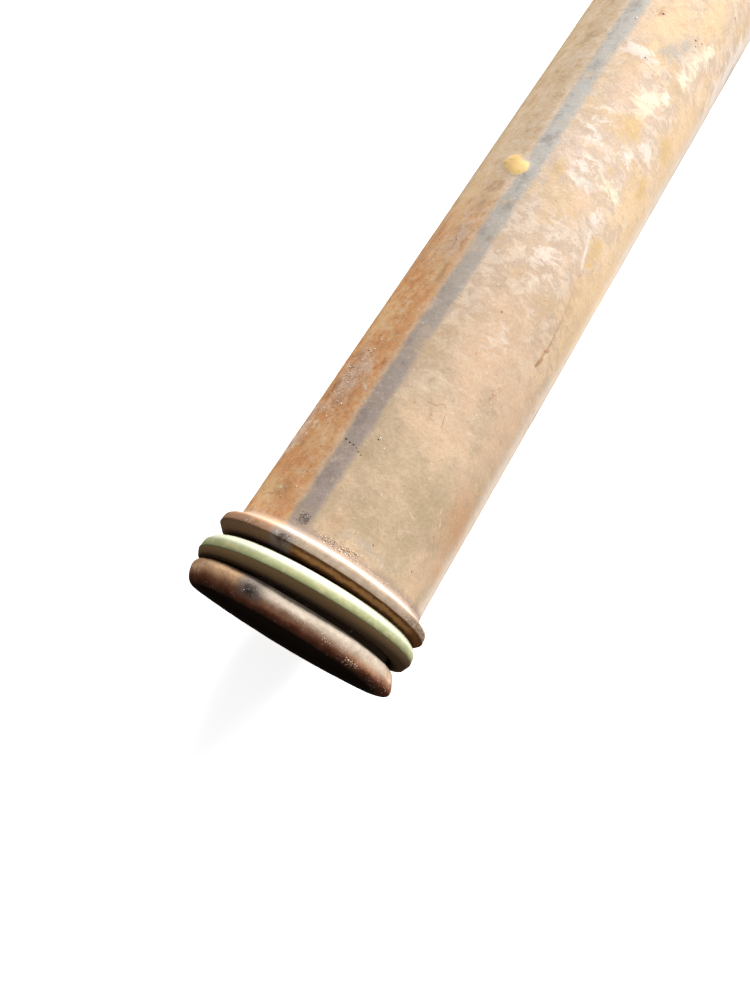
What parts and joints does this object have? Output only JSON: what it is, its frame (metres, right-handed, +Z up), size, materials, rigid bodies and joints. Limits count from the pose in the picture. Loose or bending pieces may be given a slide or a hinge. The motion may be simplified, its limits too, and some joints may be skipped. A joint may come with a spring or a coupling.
{
  "type": "corroded pipe",
  "caption": "Rusted round steel pipe, sawn square at one end and rolled at the other into a rounded lip, a groove with a rubber sealing ring, and a collar.",
  "frame": {"origin": "on the ground, under the middle of the pipe's box", "axes": "+X along the pipe from its mouth with the sealing ring to its sawn end, +Z up; the pipe's axis falls 0.31 degrees towards +X because the ring lifts the mouth end"},
  "size_m": [0.5002, 0.0372, 0.0373],
  "materials": {
    "rusted_steel": "corroded, tan and orange-brown rust with a grey weld seam",
    "green_rubber": "satin, pale green"
  },
  "bodies": {
    "root": {"pipe": "rusted_steel", "sealing_ring": "green_rubber"}
  },
  "joints": []
}
